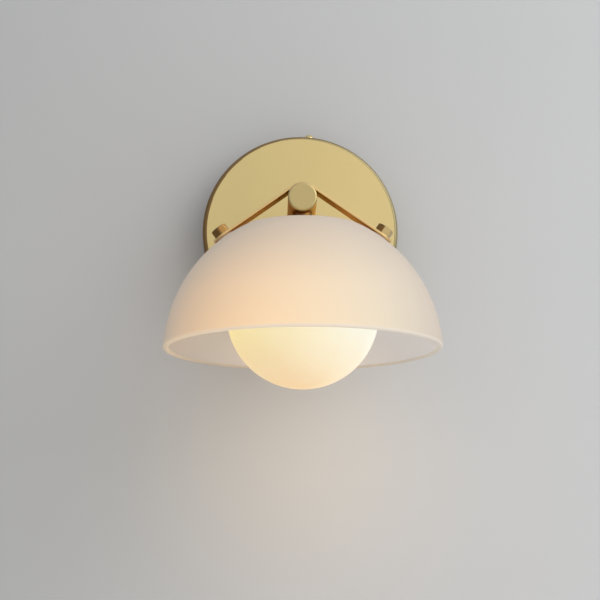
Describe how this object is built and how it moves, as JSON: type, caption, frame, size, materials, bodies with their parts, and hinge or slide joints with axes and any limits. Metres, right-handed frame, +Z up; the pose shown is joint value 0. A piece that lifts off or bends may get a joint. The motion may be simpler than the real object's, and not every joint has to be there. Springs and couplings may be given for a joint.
{
  "type": "wall sconce",
  "caption": "Wall sconce: round canopy, straight horizontal arm, folded strap bolted to an open glass dome shade, and an opal glass globe round the lamp.",
  "frame": {"origin": "centre of the canopy's open back, in the wall's plane", "axes": "+Y into the wall, the arm points along -Y; +Z up; +X to the right as seen from the front"},
  "size_m": [0.172, 0.207, 0.1841],
  "materials": {
    "satin_brass": "satin, finely brushed and lacquered",
    "plated_steel": "zinc plated",
    "green_screw": "green passivated",
    "tinned_copper": "bright",
    "black_rubber": "matte",
    "clear_rubber": "satin, milky",
    "shade_opal": "opal glass, frosted outside",
    "globe_opal": "opal glass, satin, lit from inside",
    "white_porcelain": "glazed",
    "holder_plastic": "moulded, glossy",
    "nylon": "moulded, satin",
    "green_insulation": "satin",
    "black_insulation": "satin",
    "white_insulation": "satin",
    "orange_plastic": "moulded, satin",
    "lamp_phosphor": "phosphor coat, lit",
    "lamp_clear": "clear",
    "pin_metal": "bright nickel"
  },
  "bodies": {
    "fixture": {"mounting_crossbar": "plated_steel", "ground_screw": "green_screw", "ground_terminals": "tinned_copper", "ground_lead": "green_insulation", "canopy": "satin_brass", "arm_nipple": "plated_steel", "arm_lock_washer": "plated_steel", "arm_hex_nut": "plated_steel", "nipple_bushing": "nylon", "arm_bush": "satin_brass", "arm_tube": "satin_brass", "arm_end_cap": "satin_brass", "shade_strap": "satin_brass", "left_shade_screw": "plated_steel", "right_shade_screw": "plated_steel", "shade_screw_washers": "plated_steel", "inner_shade_seals": "clear_rubber", "outer_shade_seals": "clear_rubber", "shade_glass": "shade_opal", "saddle_collar": "satin_brass", "upper_crown_seal": "black_rubber", "lower_crown_seal": "black_rubber", "crown_washer": "plated_steel", "drop_nipple": "plated_steel", "holder_sleeve": "holder_plastic", "holder_block": "white_porcelain", "holder_contacts": "tinned_copper", "holder_screws": "plated_steel", "live_lead": "black_insulation", "neutral_lead": "white_insulation", "wire_connectors": "orange_plastic"},
    "globe": {"globe_glass": "globe_opal", "globe_seal": "black_rubber"},
    "lamp": {"lamp_base": "white_porcelain", "lamp_pins": "pin_metal", "lamp_core": "lamp_phosphor", "lamp_envelope": "lamp_clear"},
    "left_nut": {"left_cap_nut": "satin_brass"},
    "right_nut": {"right_cap_nut": "satin_brass"},
    "top_screw": {"top_side_screw": "satin_brass"},
    "bottom_screw": {"bottom_side_screw": "satin_brass"}
  },
  "joints": [
    {"name": "globe_lower", "type": "slide", "parent": "fixture", "child": "globe", "axis": [0, 0, -1], "range_m": [0, 0.1]},
    {"name": "lamp_pull", "type": "slide", "parent": "fixture", "child": "lamp", "axis": [0, 0, -1], "range_m": [0, 0.016]},
    {"name": "left_nut_turn", "type": "hinge", "parent": "fixture", "child": "left_nut", "pos_m": [-0.04761, -0.121, -0.02353], "axis": [-0.5736, 0, 0.8192], "range_deg": [0, 1800]},
    {"name": "right_nut_turn", "type": "hinge", "parent": "fixture", "child": "right_nut", "pos_m": [0.04761, -0.121, -0.02353], "axis": [0.5736, 0, 0.8192], "range_deg": [0, 1800]},
    {"name": "top_screw_turn", "type": "hinge", "parent": "fixture", "child": "top_screw", "pos_m": [0.00609, -0.0135, 0.06321], "axis": [0.0958, 0, 0.9954], "range_deg": [0, 2880]},
    {"name": "bottom_screw_turn", "type": "hinge", "parent": "fixture", "child": "bottom_screw", "pos_m": [-0.00609, -0.0135, -0.06321], "axis": [-0.0958, 0, -0.9954], "range_deg": [0, 2880]}
  ]
}
